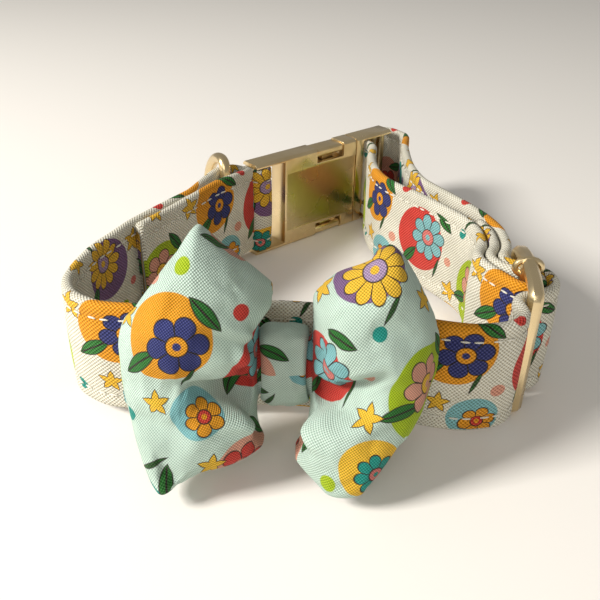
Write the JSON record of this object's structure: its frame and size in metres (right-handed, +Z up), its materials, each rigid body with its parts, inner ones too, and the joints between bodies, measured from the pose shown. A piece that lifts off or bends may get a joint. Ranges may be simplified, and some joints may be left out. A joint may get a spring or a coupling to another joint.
{
  "type": "pet bow tie collar",
  "caption": "Small printed fabric pet collar standing as a loop, with a padded bow tie at the front, a leash ring, a strap slider and a metal side-release buckle at the back.",
  "frame": {"origin": "on the ground under the middle of the collar's outline", "axes": "-Y out of the bow at the front, +Y to the buckle corner at the back, +X to the wearer's slider side, +Z up across the strap's width"},
  "size_m": [0.1022, 0.1448, 0.0473],
  "materials": {
    "strap_cloth": "coarse printed weave over webbing, white stitching",
    "bow_cloth": "coarse printed weave, softly padded",
    "gold_metal": "polished light gold plating on cast alloy"
  },
  "bodies": {
    "collar": {"collar_strap": "strap_cloth", "buckle_socket": "gold_metal", "buckle_plug": "gold_metal", "strap_slider": "gold_metal", "bow_body": "bow_cloth", "bow_knot": "bow_cloth"},
    "ring": {"leash_ring": "gold_metal"},
    "upper_button": {"button_upper": "gold_metal"},
    "lower_button": {"button_lower": "gold_metal"}
  },
  "joints": [
    {"name": "ring_swing", "type": "hinge", "parent": "collar", "child": "ring", "pos_m": [-0.02346, 0.02162, 0.0166], "axis": [0, 0, 1], "range_deg": [0, 80]},
    {"name": "upper_button_press", "type": "slide", "parent": "collar", "child": "upper_button", "axis": [0, 0, -1], "range_m": [0, 0.0012], "stiffness_N_per_m": 400},
    {"name": "lower_button_press", "type": "slide", "parent": "collar", "child": "lower_button", "axis": [0, 0, 1], "range_m": [0, 0.0012], "stiffness_N_per_m": 400}
  ]
}
